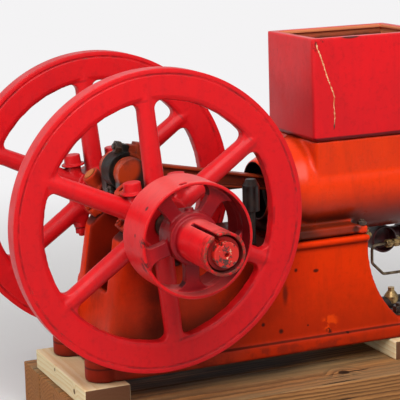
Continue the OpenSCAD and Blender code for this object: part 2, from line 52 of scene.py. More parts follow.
mm = 0.001
shaftUp = (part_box("flywheel_near")[0].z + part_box("flywheel_near")[1].z) / 2   # height of the crankshaft
bodyOf = {node: body for body, group in frame["record"]["behaviour"]["bodies"].items() for node in group}
slotOf = {part["node"]: part["material_slot"] for part in frame["record"]["subparts"]}


def fromShaft(x, y, z):
    # millimetres from the shaft's axis, in metres above the floor
    return Vector((x * mm, y * mm, z * mm + shaftUp))


def middleOf(node):
    low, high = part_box(node)
    return (low + high) / 2


def hexColour(text):
    # sRGB hex to the linear colour that a shader wants
    channels = [int(text[i:i + 2], 16) / 255 for i in (1, 3, 5)]
    return (*[c / 12.92 if c <= 0.04045 else ((c + 0.055) / 1.055) ** 2.4 for c in channels], 1.0)


def addNode(tree, kind, sockets=(), **settings):
    # adds one node with its settings, then fills its sockets, in order or by name: a node or
    # a socket is linked, a hex colour is turned to linear, and any other value is set
    node = tree.nodes.new(kind if "Node" in kind else "ShaderNode" + kind)
    for name, value in settings.items():
        setattr(node, name, value)
    if not isinstance(sockets, dict):
        sockets = dict(zip([i for i, socket in enumerate(node.inputs) if socket.enabled], sockets))
    for key, value in sockets.items():
        if isinstance(value, bpy.types.Node):
            value = next(out for out in value.outputs if out.enabled)
        if isinstance(value, bpy.types.NodeSocket):
            tree.links.new(value, node.inputs[key])
        else:
            isHex = isinstance(value, str) and value[0] == "#"
            node.inputs[key].default_value = hexColour(value) if isHex else value
    return node


# settings that many nodes share
times, plus, minus, larger = ({"operation": way} for way in ("MULTIPLY", "ADD", "SUBTRACT", "MAXIMUM"))
smoothly = {"interpolation_type": "SMOOTHSTEP"}
inColour = {"data_type": "RGBA"}


def startMaterial(name):
    # an empty material, a function that adds a node to it, and the piece's own coordinates
    material = bpy.data.materials.new(name)
    material.use_nodes = True
    material.node_tree.nodes.clear()
    add = partial(addNode, material.node_tree)
    return material, add, add("TexCoord").outputs["Object"]


def endMaterial(material, add, surface):
    add("OutputMaterial", [add("BsdfPrincipled", surface)])
    return material


def layered(add, colour, *coats):
    # lays coats over a ground, the first one lowest: each is its cover, its colour and, where
    # the cover has to be faded first, the numbers of that fade
    for cover, coat, *fade in coats:
        if fade:
            cover = add("MapRange", [cover, *fade], **smoothly)
        colour = add("Mix", [cover, colour, coat], **inColour)
    return colour


def blotches(add, where, size, detail=3.0, roughness=0.55, stretch=(1, 1, 1), shift=(0, 0, 0), fade=None):
    # cloudy grey with blotches about size metres across, longer along an axis that is stretched;
    # fade gives them an edge: from, to, and the values below and above it
    scaled = add("Mapping", {"Vector": where, "Location": shift, "Scale": tuple(1 / s for s in stretch)})
    grey = add("TexNoise", {"Vector": scaled, "Scale": 1 / size, "Detail": detail, "Roughness": roughness})
    return add("MapRange", [grey, *fade], **smoothly) if fade else grey


def edgeMask(add, radius):
    # 1 on sharp convex and concave edges, 0 on open faces
    rounded = add("Bevel", {"Radius": radius}, samples=6)
    along = add("VectorMath", [rounded, add("NewGeometry").outputs["Normal"]], operation="DOT_PRODUCT")
    return add("MapRange", [along, 0.985, 0.90], **smoothly)


def facing(add, axis, fade, bothWays=False):
    # a mask of the faces that look along an axis, or against it where fade runs below 0
    along = add("SeparateXYZ", [add("NewGeometry").outputs["Normal"]]).outputs[axis]
    if bothWays:
        along = add("Math", [along], operation="ABSOLUTE")
    return add("MapRange", [along, *fade], **smoothly)


def nearTo(add, where, centre, inside, outside, scale=(1, 1, 1), hollow=0.0, hollowEdge=1.5 * mm):
    # 1 within inside metres of a point, 0 beyond outside; a zero in scale leaves that axis out,
    # and a hollow keeps what is nearer than that at 0
    offset = add("VectorMath", [where, centre], **minus)
    length = add("VectorMath", [add("VectorMath", [offset, scale], **times)], operation="LENGTH")
    near = add("MapRange", [length, outside, inside], **smoothly)
    if hollow:
        past = add("MapRange", [length, hollow, hollow + hollowEdge], **smoothly)
        near = add("Math", [near, past], **times)
    return near


def raised(add, height, strength, distance=1 * mm, rounding=None):
    # the relief of a surface, with its edges rounded off
    sockets = {"Strength": strength, "Distance": distance, "Height": height}
    if rounding:
        sockets["Normal"] = add("Bevel", {"Radius": rounding}, samples=6)
    return add("Bump", sockets)


def oldPaint(name, look):
    # brushed oil enamel on sand-cast iron: glossy, a little uneven, chipped where it was knocked
    material, add, where = startMaterial(name)
    smudge = blotches(add, where, 0.05, 5, 0.65)
    # grime and painted shade: darker where ambient occlusion finds hollows, creases and joints, broken up by
    # smudges
    hollow = add("AmbientOcclusion", {"Distance": look["grimeAndShadeReach"]}, samples=6, only_local=False)
    dirtAndShade = add("Math", [add("MapRange", [hollow.outputs["AO"], 0.9, 0.42, 0, look["grimeAndShade"]], **smoothly),
                        add("MapRange", [smudge, 0.2, 0.55], **smoothly)], **times)
    # under the grime and painted shade of the hollows: an uneven coat, dull runs down the walls, and soot in
    # the brush marks
    colour = layered(
        add, look["paint"], (blotches(add, where, 0.16, 4), look["paintToo"], 0.35, 0.65),
        (blotches(add, where, 0.02, 4, 0.65, (1, 1, 5)), look["runTone"], 0.45, 0.75, 0, look["runs"]),
        (blotches(add, where, 0.011, 4, 0.7, shift=(3, 1, 2)), look["dirtAndShade"], 0.5, 0.72, 0, look["mottle"]),
        (dirtAndShade, look["dirtAndShade"]))
    if "dustAndSheen" in look:
        # paler where the paint faces up: chalked paint, and a painted sheen like the gloss on the tread's top
        above = add("Math", [facing(add, "Z", (0.55, 0.95, 0, look["dustAndSheenAmount"])),
                             add("MapRange", [smudge, 0.3, 0.6, 0.7, 1.0], **smoothly)], **times)
        colour = layered(add, colour, (above, look["dustAndSheen"]))
    if "under" in look:
        # painted shade: darker on the faces that look down
        below = facing(add, "Z", (look["underFrom"], look["underTo"], 0, look["under"]))
        colour = layered(add, colour, (below, look["dirtAndShade"]))
    for mark in look.get("stainsAndShade", []):
        # a stain or a patch of painted shade round one place, with a torn edge
        spread = nearTo(add, where, *mark["reach"])
        torn = add("Math", [add("Math", [smudge, 0.5], **minus), mark.get("ragged", 6.0)], **times)
        edge = add("Math", [spread, add("Math", [1.0, spread], **minus)], **times)
        spread = add("Math", [spread, add("Math", [torn, edge], **times)], use_clamp=True, **plus)
        masks = [mark["amount"]]
        if "patchy" in mark:
            masks.append(blotches(add, where, mark["patchy"], 3, 0.6, fade=(0.42, 0.58)))
        if "facing" in mark:
            masks.append(facing(add, mark["facing"], mark["turned"]))
        for mask in masks:
            spread = add("Math", [spread, mask], **times)
        colour = layered(add, colour, (spread, mark["colour"]))
    # chips along edges and a few on open faces
    flaky = blotches(add, where, 0.012, 4, 0.7, fade=(look["edgeKeep"], look["edgeKeep"] + 0.06))
    knocks = blotches(add, where, look["chipSize"], 2, 0.5, fade=(look["chipKeep"], look["chipKeep"] + 0.02))
    bare = add("Math", [add("Math", [edgeMask(add, look["edge"]), flaky], **times), knocks], **larger)
    metal = layered(add, look["bare"], (blotches(add, where, 0.006, 2), look["bareToo"], 0.4, 0.6))
    rough = add("Math", [look["gloss"], add("Math", [bare, 0.3], **times)], **plus)
    dull = add("MapRange", [smudge, 0.35, 0.75, 0, 0.14], **smoothly)
    # the skin of the casting under the paint, with the chips sunk into it
    skin = add("Math", [blotches(add, where, look["castGrain"], 3, 0.5),
                        add("Math", [bare, 0.8], **times)], **minus)
    return endMaterial(material, add, {
        "Base Color": layered(add, colour, (bare, metal)), "Specular IOR Level": look["shine"],
        "Roughness": add("Math", [rough, dull], use_clamp=True, **plus),
        "Normal": raised(add, skin, look["castDepth"], rounding=look["round"])})


def spot(x, y, z, radius, soft, colour, amount, axes="XYZ", squeeze=(1, 1, 1), hollow=0, **more):
    # a stain or a patch of painted shade, in millimetres from the shaft; its reach runs across the given axes
    # only
    scale = tuple(float(a in axes) * s for a, s in zip("XYZ", squeeze))
    return {"reach": (tuple(fromShaft(x, y, z)), radius * mm, (radius + soft) * mm, scale, hollow * mm),
            "colour": colour, "amount": amount, **more}


redLook = {
    "paint": "#D41219", "paintToo": "#CB141A", "dirtAndShade": "#4A1010", "bare": "#3A2420", "bareToo": "#5A463A",
    "gloss": 0.36, "shine": 0.23, "grimeAndShade": 0.7, "grimeAndShadeReach": 0.03, "edge": 0.0022, "round": 0.0016,
    "edgeKeep": 0.56, "chipSize": 0.012, "chipKeep": 0.82, "castGrain": 0.010, "castDepth": 0.2,
    "runs": 0.3, "runTone": "#A81420", "mottle": 0.15}
orangeLook = {
    "paint": "#E83400", "paintToo": "#DE2E02", "dirtAndShade": "#3A120A", "bare": "#2A1812", "bareToo": "#46301F",
    "gloss": 0.42, "shine": 0.15, "grimeAndShade": 0.85, "grimeAndShadeReach": 0.05, "edge": 0.003, "round": 0.0025,
    "edgeKeep": 0.54, "chipSize": 0.010, "chipKeep": 0.80, "castGrain": 0.012, "castDepth": 0.3,
    "runs": 0.35, "runTone": "#B22A0A", "mottle": 0.12}


def oilyIron(name, dark, brown, metallic=0.0, gloss=(0.3, 0.62), shine=0.4):
    # cast iron under years of old oil: near black, wet in places, brown where it has dried
    material, add, where = startMaterial(name)
    wet = blotches(add, where, 0.02, 4, 0.6)
    return endMaterial(material, add, {
        "Base Color": layered(add, dark, (wet, brown, 0.4, 0.68), (edgeMask(add, 0.0015), "#6B5646")),
        "Roughness": add("MapRange", [wet, 0.35, 0.7, *gloss], **smoothly),
        "Normal": raised(add, blotches(add, where, 0.006, 4), 0.3, rounding=0.001),
        "Metallic": metallic, "Specular IOR Level": shine})


def wornSteel():
    # turned steel that rubs or is wiped: grey, with brown film away from the bright tracks
    material, add, where = startMaterial("wornSteel")
    film = blotches(add, where, 0.03, 4, 0.6)
    return endMaterial(material, add, {
        "Base Color": layered(add, "#857F78", (film, "#4A3B31", 0.4, 0.65)),
        "Roughness": add("MapRange", [film, 0.35, 0.7, 0.28, 0.55], **smoothly),
        "Normal": raised(add, film, 0.1, rounding=0.001), "Metallic": 0.8})


def agedBrass(name, clean, brown, corner):
    # yellow brass gone tan and dull, brighter on the corners
    material, add, where = startMaterial(name)
    film = blotches(add, where, 0.012, 3, 0.6)
    return endMaterial(material, add, {
        "Base Color": layered(add, clean, (film, brown, 0.4, 0.65), (edgeMask(add, 0.0012), corner)),
        "Roughness": add("MapRange", [film, 0.35, 0.7, 0.32, 0.5], **smoothly),
        "Normal": raised(add, film, 0.1, rounding=0.0008), "Metallic": 0.6})


shaftLook = {   # webTo and endFrom are metres along Y; the cheek is painted within its first radius
    "oil": "#1C1512", "rust": "#43291C", "web": "#BE3E12", "webDirt": "#7A2C14", "webBeyondCheek": "#2A1610",
    "webTo": 0.0545, "cheek": ((-18, 0, 80), 0.021, 0.033), "end": "#C41C10", "endRust": "#42201A",
    "endChip": "#C8A080", "endFrom": -0.400}


def paintedShaft(look):
    # the crankshaft: orange webs, black oily journals, and the end past the pulley red and chipped
    material, add, where = startMaterial("crankshaftOilAndPaint")
    across = add("SeparateXYZ", [where]).outputs["Y"]
    fleck = blotches(add, where, 0.010, 4, 0.65)
    film = blotches(add, where, 0.03, 4, 0.6)
    middle, inside, outside = look["cheek"]
    webPaint = layered(add, look["web"], (film, look["webDirt"], 0.45, 0.7))
    # the web is dark beyond the cheek's first radius
    webPaint = layered(add, look["webBeyondCheek"], (
        nearTo(add, where, tuple(fromShaft(*middle)), inside, outside, (1, 0, 1)), webPaint))
    endPaint = layered(
        add, look["end"], (fleck, look["endRust"], 0.52, 0.58),
        (blotches(add, where, 0.007, 3, 0.6, shift=(1, 2, 3)), look["endChip"], 0.63, 0.66))
    outwards = add("Math", [across], operation="ABSOLUTE")
    web = add("MapRange", [outwards, look["webTo"], look["webTo"] - 1 * mm], **smoothly)
    end = add("MapRange", [across, look["endFrom"] + 1 * mm, look["endFrom"]], **smoothly)
    return endMaterial(material, add, {
        "Base Color": layered(
            add, look["oil"], (film, look["rust"], 0.4, 0.65), (web, webPaint), (end, endPaint)),
        "Roughness": add("MapRange", [film, 0.35, 0.7, 0.32, 0.6], **smoothly),
        "Normal": raised(add, fleck, 0.35, rounding=0.001)})


def sawnWood(name, look):
    # a sawn softwood timber; the rings run along its length and close round a pith beside it
    material, add, where = startMaterial(name)
    length = "XY".index(look["along"])

    def drawnOut(factor):
        return tuple(factor if i == length else 1 for i in range(3))

    waver = add("Mapping", {"Vector": where, "Scale": tuple(1 / s for s in drawnOut(14))})
    warp = add("TexNoise", {"Vector": waver, "Scale": 9.0, "Detail": 2.0}).outputs["Color"]
    offset = add("VectorMath", [warp, (-0.5, -0.5, -0.5)], **plus)
    offset = add("VectorMath", [offset, look["warp"]], operation="SCALE")
    bent = add("VectorMath", [where, offset], **plus)
    knots = 0.0
    for *centre, size in look["knots"]:
        # the grain swells round a knot, and the knot itself is dark
        halo = nearTo(add, where, centre, size * 0.4, size * 3.5)
        pull = add("VectorMath", [(0.0, 0.0, 0.012), halo], operation="SCALE")
        bent = add("VectorMath", [bent, pull], **plus)
        knots = add("Math", [knots, nearTo(add, where, centre, size * 0.7, size)], **larger)
    rings = add("TexWave", {   # at scale 1 the node's rings are 0.3142 wide
        "Vector": add("VectorMath", [bent, look["pith"]], **minus), "Scale": 0.3142 / look["ring"],
        "Distortion": 1.2, "Detail": 2.0, "Detail Scale": 1.5},
        wave_type="RINGS", rings_direction=look["along"], wave_profile="SAW").outputs["Fac"]
    streak = blotches(add, where, 0.0035, 4, 0.7, drawnOut(40))
    stain = blotches(add, where, 0.09, 4, 0.6, drawnOut(7.5))
    # the top has greyed in the weather; the sides keep their colour
    weathered = add("Math", [add("MapRange", [stain, 0.35, 0.7], **smoothly),
                             facing(add, "Z", (0.3, 0.9, look["sideStain"], look["topStain"]))], **times)
    # the sawn ends soak up grime and read darker
    end = facing(add, look["along"], (0.7, 0.9), bothWays=True)
    colour = layered(
        add, look["early"], (rings, look["late"], 0.25, 0.95),
        (streak, look["fibre"], 0.35, 0.7, 0, look["streak"]),
        (weathered, look["weather"]), (knots, look["knot"]),
        (add("Math", [end, 0.5], **times), look["early"]))
    endDark = add("Math", [end, look["endDark"]], **times)
    colour = add("Mix", [endDark, colour, look["endGrain"]], blend_type="MULTIPLY", **inColour)
    # painted contact shadow: the look's oil entries darken the timbers where the base stands over them
    for at, inside, outside, scale, amount in look["oil"]:
        contactShadow = add("Math", [nearTo(add, where, tuple(fromShaft(*at)), inside, outside, scale),
                              add("MapRange", [stain, 0.2, 0.5, 0, amount], **smoothly)], **times)
        colour = layered(add, colour, (contactShadow, "#241A14"))
    # drying cracks along the grain
    split = blotches(add, where, 0.004, 2, 0.5, look["splitRun"], fade=(0.66, 0.70, 0, look["splits"]))
    grain = add("Math", [add("Math", [rings, 0.35], **times), streak], **plus)
    grain = add("Math", [grain, add("Math", [split, 1.5], **times)], **minus)
    return endMaterial(material, add, {
        "Base Color": layered(add, colour, (split, "#20140C")), "Specular IOR Level": 0.2,
        "Roughness": add("MapRange", [streak, 0.3, 0.8, 0.6, 0.85], **smoothly),
        "Normal": raised(add, grain, look["relief"], 1.5 * mm)})


timberLook = {
    "along": "X", "ring": 0.007, "warp": 0.05, "early": "#BC7E46", "late": "#744422", "fibre": "#5C3A1E",
    "weather": "#8C7350", "streak": 0.65, "topStain": 0.8, "sideStain": 0.2, "endGrain": "#C49A62",
    "endDark": 0.3, "relief": 0.6, "knot": "#3A2413", "knots": [], "splits": 0.9, "splitRun": (60, 1.5, 1.5),
    # the oil entries are a painted contact shadow where the base stands over the timbers
    "oil": [((60, -40, -342), 0.03, 0.11, (0.55, 1, 1), 0.8), ((230, -60, -342), 0.02, 0.09, (0.5, 1, 1), 0.8)]}
pineLook = {
    "along": "Y", "ring": 0.008, "warp": 0.05, "early": "#F4E4BC", "late": "#EACF9C", "fibre": "#E0C190",
    "weather": "#D6AE7E", "streak": 0.35, "topStain": 0.7, "sideStain": 0.1, "endGrain": "#62341E",
    "endDark": 0.95, "relief": 0.3, "knot": "#6B4A2A", "knots": [], "splits": 0.0, "splitRun": (1, 30, 1),
    "oil": []}

print("making materials")
redWheel = oldPaint("redEnamelWheel", {**redLook, "stainsAndShade": [
    # painted shade: a dark line in the rim's groove and round the rim's inner edge
    spot(0, 0, 0, 271.6, 0.8, "#5A0E14", 0.5, axes="XZ", hollow=268, patchy=0.05, ragged=1.5),
    spot(0, 0, 0, 226.5, 1.5, "#5A0E14", 0.4, axes="XZ", hollow=222, patchy=0.06, ragged=3.0)]})
redHopper = oldPaint("redEnamelHopper", {
    **redLook, "paint": "#DC151D", "paintToo": "#CE171E", "grimeAndShadeReach": 0.04, "shine": 0.2, "gloss": 0.3,
    "edge": 0.003, "edgeKeep": 0.5, "bareToo": "#C98A62", "runTone": "#B81822", "stainsAndShade": [
        # painted shade: a dark maroon band along the hopper's bottom chamfer
        spot(0, 0, 101, 7, 3, "#4E0A14", 0.85, axes="Z"),
        # tan inner walls: the lighter tan on the walls that face the lamps, and the darker tan on the walls
        # that face away is painted shade
        spot(0, 84, 0, 6, 4, "#D8875A", 0.85, axes="Y", facing="Y", turned=(-0.5, -0.9)),
        spot(0, -84, 0, 6, 4, "#C06A44", 0.85, axes="Y", facing="Y", turned=(0.5, 0.9)),
        spot(370, 0, 0, 12, 4, "#C06A44", 0.85, axes="X", facing="X", turned=(0.5, 0.9)),
        spot(598, 0, 0, 12, 4, "#D8875A", 0.85, axes="X", facing="X", turned=(-0.5, -0.9)),
        # painted shade inside the hopper: the inner walls darken below the lip and the floor is near black
        spot(0, 94, 130, 149, 12, "#3A120C", 0.9, axes="YZ", facing="Y", turned=(-0.5, -0.9)),
        spot(0, -94, 130, 110, 35, "#140D0B", 0.95, axes="YZ", facing="Y", turned=(0.5, 0.9)),
        spot(359, 0, 130, 110, 35, "#140D0B", 0.95, axes="XZ", facing="X", turned=(0.5, 0.9)),
        spot(611, 0, 130, 110, 35, "#140D0B", 0.95, axes="XZ", facing="X", turned=(-0.5, -0.9)),
        spot(0, 0, 115, 6, 4, "#140D0B", 0.95, axes="Z", facing="Z", turned=(0.5, 0.9)),
        # painted shade: the hopper's left outer face darkens towards its foot
        spot(351, 0, 140, 40, 60, "#9A1218", 0.5, axes="XZ", facing="X", turned=(-0.6, -0.9)),
        spot(432, -101, 301, 5, 3, "#3A2018", 0.9, squeeze=(0.35, 1, 1.6)),
        spot(371, -101, 299, 3, 4, "#3A2018", 0.9, patchy=0.004),
        spot(356, -101, 287, 4, 6, "#5A1A14", 0.8, patchy=0.005, squeeze=(1.4, 1, 0.7))]})
redHead = oldPaint("redEnamelHead", {**redLook, "paint": "#C91A18", "paintToo": "#B8201A"})
redPulley = oldPaint("redEnamelPulley", {
    **redLook, "gloss": 0.34, "shine": 0.22, "dustAndSheen": "#F2A59C", "dustAndSheenAmount": 0.18, "edge": 0.003, "stainsAndShade": [
        spot(-83, -321, 61, 2.5, 3, "#3A1614", 0.9),
        spot(-102, -310, 14, 1.5, 3, "#3A1614", 0.9),
        spot(-102, -342, 8, 6, 5, "#2A1210", 0.9, patchy=0.008),
        spot(-96, -336, -34, 10, 8, "#2A1210", 0.85, patchy=0.010),
        spot(0, -458, 0, 2, 7, "#5E4634", 0.75, axes="Y", patchy=0.006),
        # painted shade: the hub and the inner parts of the arms go maroon
        spot(0, -296, 0, 70, 30, "#6E0814", 0.72, squeeze=(1, 1.6, 1)),
        spot(0, -458, 0, 10, 26, "#6A2018", 0.6, axes="Y", patchy=0.012),
        # painted shade: the inside of the pulley's rim is near black
        spot(0, -330, 0, 98.5, 1.5, "#1E080C", 0.85, axes="XZ", hollow=78,
             facing="X", turned=(-0.2, -0.75), ragged=0.0),
        spot(0, -458, 0, 30, 3.5, "#1A0F0C", 0.9)],
    "edgeKeep": 0.42, "chipKeep": 0.75, "chipSize": 0.012,
    "bare": "#4A3428", "bareToo": "#8A6A50", "grimeAndShade": 0.9, "grimeAndShadeReach": 0.05, "dirtAndShade": "#5A0F1C"})
orangeBase = oldPaint("orangeEnamelBase", {
    **orangeLook, "shine": 0.08, "under": 0.6, "underFrom": 0.2, "underTo": -0.8, "stainsAndShade": [
        # oil and painted shade: near black on the upward faces round the crank pit
        spot(110, 0, -60, 150, 60, "#120C09", 0.92, axes="XZ", facing="Z", turned=(0.3, 0.8)),
        # painted shade: darker towards the bottom of the base
        spot(0, 0, -330, 50, 150, "#5A1A08", 0.45, axes="Z"),
        # painted shade: browner low on the near wall, under the near flywheel
        spot(40, -130, -230, 60, 120, "#8A4A38", 0.3),
        # painted shade on the far pedestal's inner face
        spot(-20, 66, -90, 60, 60, "#4A0C08", 0.75, facing="Y", turned=(-0.2, -0.8)),
        # painted shade: a dark patch on the near pedestal's front
        spot(10, -100, -170, 12, 40, "#220808", 0.7, squeeze=(1, 1, 0.5)),
        spot(0, 0, -277, 0.8, 2.0, "#2E120A", 0.75, axes="Z"),
        spot(-96, 0, -290, 30, 30, "#5A1E18", 0.4, axes="XZ"),
        spot(250, 0, -296, 10, 8, "#6A1E10", 0.55, patchy=0.03, squeeze=(0.07, 0, 1)),
        spot(369, -121, -252, 9, 14, "#F04808", 0.7, axes="XZ", patchy=0.014),
        spot(366, -121, -270, 4, 5, "#2A120A", 0.9, patchy=0.006),
        spot(406, -125, -276, 2.5, 2, "#1E0E08", 0.9),
        spot(340, -121, -145, 2, 3, "#2A120A", 0.9, squeeze=(0.6, 1, 1)),
        spot(321, -121, -252, 1.2, 2, "#2A120A", 0.9),
        # oil and painted shade deep in the crank pit
        spot(0, 0, -150, 60, 40, "#1A100B", 0.7),
        spot(273, -121, -183, 6, 16, "#3A140A", 0.7, squeeze=(2.5, 1, 0.7)),
        spot(297, -121, -139, 2, 4, "#2A120A", 0.9),
        spot(263, -121, -256, 2, 5, "#2A120A", 0.9),
        spot(225, -121, -238, 2, 4, "#2A120A", 0.9)]})
tanCap = oldPaint("orangeEnamelWornTan", {**orangeLook, "paint": "#C8763C", "paintToo": "#A8542A"})
orangeCap = oldPaint("orangeEnamelBearings", {
    **orangeLook, "paint": "#C9320C", "paintToo": "#9A2A10", "edgeKeep": 0.5})
orangeBarrel = oldPaint("orangeEnamelBarrel", {
    **orangeLook, "paint": "#F23A02", "paintToo": "#E83404", "gloss": 0.27, "shine": 0.22,
    "under": 0.85, "underFrom": 0.25, "underTo": -0.75, "stainsAndShade": [
        # painted shade: the bore is black inside
        spot(0, 0, 0, 56.5, 1.5, "#0B0807", 1.0, axes="YZ", ragged=0.0),
        # oil and painted shade: near black on the saddle's front under the cylinder's mouth
        spot(285, 0, -110, 50, 40, "#0E0A08", 0.95, axes="XZ"),
        spot(362, -109, -68, 36, 9, "#5A200E", 0.75, squeeze=(0.45, 1, 2.4)),
        spot(434, -109, -76, 6, 7, "#2A120A", 0.85)]})
orangeRod = oldPaint("orangeEnamelRod", {
    **orangeLook, "paint": "#A83A12", "paintToo": "#7A2A12", "edgeKeep": 0.45,
    "grimeAndShade": 1.0, "grimeAndShadeReach": 0.03})
darkIron = oilyIron("oilyCastIron", "#14110F", "#33261E")
capIron = oilyIron("blackenedForging", "#0E0E0C", "#2E2118", gloss=(0.42, 0.65), shine=0.2)
rustyIron = oilyIron("oiledRustyIron", "#211713", "#4E3424", gloss=(0.35, 0.7))
dullIron = oilyIron("dullGreyIron", "#2C2A28", "#4A443E", metallic=0.4, gloss=(0.35, 0.6))
steel = wornSteel()
oldPipe = agedBrass("brownedPipe", "#7A6A54", "#4A3A2A", "#A8946C")
brass = agedBrass("agedBrass", "#A88A58", "#5E482C", "#D0B680")
maroonIron = oilyIron("oiledMaroonIron", "#2E0F12", "#571B1E")
shaftPaint = paintedShaft(shaftLook)
pineCrankEnd = sawnWood("sawnPineCrankEnd", {
    **pineLook, "pith": (-0.105, 0, 0.060),
    "knots": [(-0.150, -0.085, 0.108, 0.006), (-0.150, 0.03, 0.118, 0.004)]})
pineHeadEnd = sawnWood("sawnPineHeadEnd", {**pineLook, "pith": (0.56, 0, 0.06)})
timberNear = sawnWood("weatheredTimberNear", {
    **timberLook, "pith": (0, -0.14, -0.04), "knots": [(0.374, -0.166, 0.089, 0.013)]})
timberMiddle = sawnWood("weatheredTimberMiddle", {**timberLook, "pith": (0, 0.02, -0.02)})
timberFar = sawnWood("weatheredTimberFar", {**timberLook, "pith": (0, 0.16, 0.0)})

# what each piece is made of; the others are worn steel
finishOf = {
    "timber_near": timberNear, "timber_middle": timberMiddle, "timber_far": timberFar,
    "block_crank_end": pineCrankEnd, "block_head_end": pineHeadEnd,
    "base": orangeBase, "bearing_cap_near": orangeCap, "bearing_cap_far": orangeCap,
    "cylinder": orangeBarrel, "hopper": redHopper, "cylinder_head": redHead,
    "rocker_bracket": redHead, "timing_case": orangeCap,
    "flywheel_near": redWheel, "flywheel_far": redWheel, "hub_bolts_near": redWheel, "hub_bolts_far": redWheel,
    "pulley": redPulley, "pulley_sleeve": redHead, "connecting_rod": orangeRod,
    "rod_cap": capIron, "mixer": maroonIron, "tank_outlet": darkIron, "mouth_oiler": darkIron,
    "exhaust_elbow": rustyIron, "spark_plug": dullIron, "rocker_arm": dullIron, "pushrod": dullIron,
    "crankshaft_near": shaftPaint, "crankshaft_far": shaftPaint,
    "fuel_pipe": brass, "fuel_valve": brass, "drain_cock": brass}


def intoScene(name, data):
    # a mesh, a lamp or a camera becomes an object of the scene
    thing = bpy.data.objects.new(name, data)
    bpy.context.scene.collection.objects.link(thing)
    return thing


def shadeSmooth(mesh, smoothTo=None):
    # edges sharper than smoothTo degrees stay crisp
    for face in mesh.polygons:
        face.use_smooth = True
    if smoothTo:
        mesh.set_sharp_from_angle(angle=math.radians(smoothTo))


def newPiece(name, shape, material, smoothTo=None):
    # a bmesh becomes an object at the origin
    mesh = bpy.data.meshes.new(name)
    shape.to_mesh(mesh)
    shape.free()
    shadeSmooth(mesh, smoothTo)
    mesh.materials.append(material)
    return intoScene(name, mesh)


def settle(piece, body, slot, *replaced):
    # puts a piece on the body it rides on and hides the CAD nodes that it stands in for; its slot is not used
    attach(piece, body)
    if replaced:
        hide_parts(*replaced)
    print(piece.name, sum(len(face.vertices) - 2 for face in piece.data.polygons), "triangles")


def apply(piece):
    # works a piece's modifiers into its mesh
    bpy.context.view_layer.update()
    mesh = bpy.data.meshes.new_from_object(piece.evaluated_get(bpy.context.evaluated_depsgraph_get()))
    mesh.name = piece.name
    piece.modifiers.clear()
    piece.data = mesh


def roundCorners(outline, radius, steps):
    # an open outline of (radius, height) points with its inner corners rounded and held by close loops
    out = [outline[0]]
    for before, corner, after in zip(outline, outline[1:-1], outline[2:]):
        c = Vector(corner)
        a, b = Vector(before) - c, Vector(after) - c
        r = min(radius, 0.4 * a.length, 0.4 * b.length)
        p, q = c + a.normalized() * r, c + b.normalized() * r
        out.append(tuple(p + a.normalized() * r * 0.5))
        for i in range(steps + 1):
            t = i / steps
            out.append(tuple(p * (1 - t) ** 2 + c * 2 * t * (1 - t) + q * t ** 2))
        out.append(tuple(q + b.normalized() * r * 0.5))
    return out + [outline[-1]]


def turned(outline, centre, axis, corner=0.0, steps=2, segments=32):
    # turns an outline of (radius, height) in millimetres round an axis; a radius of 0 closes it
    shape = bmesh.new()
    turn = Vector((0, 0, 1)).rotation_difference(Vector(axis))
    rings = []
    for radius, height in roundCorners(outline, corner, steps) if corner else outline:
        radius, height = radius * mm, height * mm
        count = 1 if radius < 1e-6 else segments
        rings.append([shape.verts.new(centre + turn @ Vector((
            radius * math.cos(math.tau * i / segments), radius * math.sin(math.tau * i / segments), height)))
            for i in range(count)])
    for low, high in zip(rings, rings[1:]):
        for i in range(segments):
            j = (i + 1) % segments
            corners = [low[i % len(low)], low[j % len(low)], high[j % len(high)], high[i % len(high)]]
            corners = [v for n, v in enumerate(corners) if v not in corners[:n]]
            if len(corners) > 2:
                shape.faces.new(corners)
    bmesh.ops.remove_doubles(shape, verts=shape.verts, dist=1e-6)
    bmesh.ops.recalc_face_normals(shape, faces=shape.faces)
    return shape


def castSkin(node, make, voxel, passes, keep, rim, drill):
    # the casting as it left the sand: the CAD form with its corners and hollows rounded over
    shape = bmesh.new()
    shape.from_mesh(frame["nodes"][node].data)
    bmesh.ops.remove_doubles(shape, verts=shape.verts, dist=2e-6)
    piece = newPiece(node + "_" + make, shape, finishOf[node])
    if drill:
        cutter = newPiece("drill", drill, finishOf[node])
        cut = piece.modifiers.new("hole", "BOOLEAN")
        cut.operation, cut.solver, cut.object = "DIFFERENCE", "EXACT", cutter
        apply(piece)
        bpy.data.objects.remove(cutter)
    remesh = piece.modifiers.new("skin", "REMESH")
    remesh.mode = "VOXEL"
    remesh.voxel_size = voxel * mm
    remesh.use_smooth_shade = True
    smooth = piece.modifiers.new("soften", "SMOOTH")
    smooth.factor = 0.5
    smooth.iterations = passes
    thin = piece.modifiers.new("thin", "DECIMATE")   # flat walls need few faces, curves keep theirs
    thin.ratio = keep
    apply(piece)
    if rim:
        spare = bpy.data.meshes.new("spare")
        rim.to_mesh(spare)
        rim.clear()
        for part in (piece.data, spare):
            rim.from_mesh(part)
        rim.to_mesh(piece.data)
        rim.free()
        bpy.data.meshes.remove(spare)
        shadeSmooth(piece.data)
    settle(piece, bodyOf[node], slotOf[node], node)


# The rim is turned over the skin, so that its groove and outer lip stay sharp.
rimLook = {"radius": 280, "depth": 56, "width": 35.6, "round": 1.2, "segments": 240,
           "groove": (11.5, 8.5), "grooveDepth": 3, "lip": 8, "stand": 0.2}   # stand covers the skin


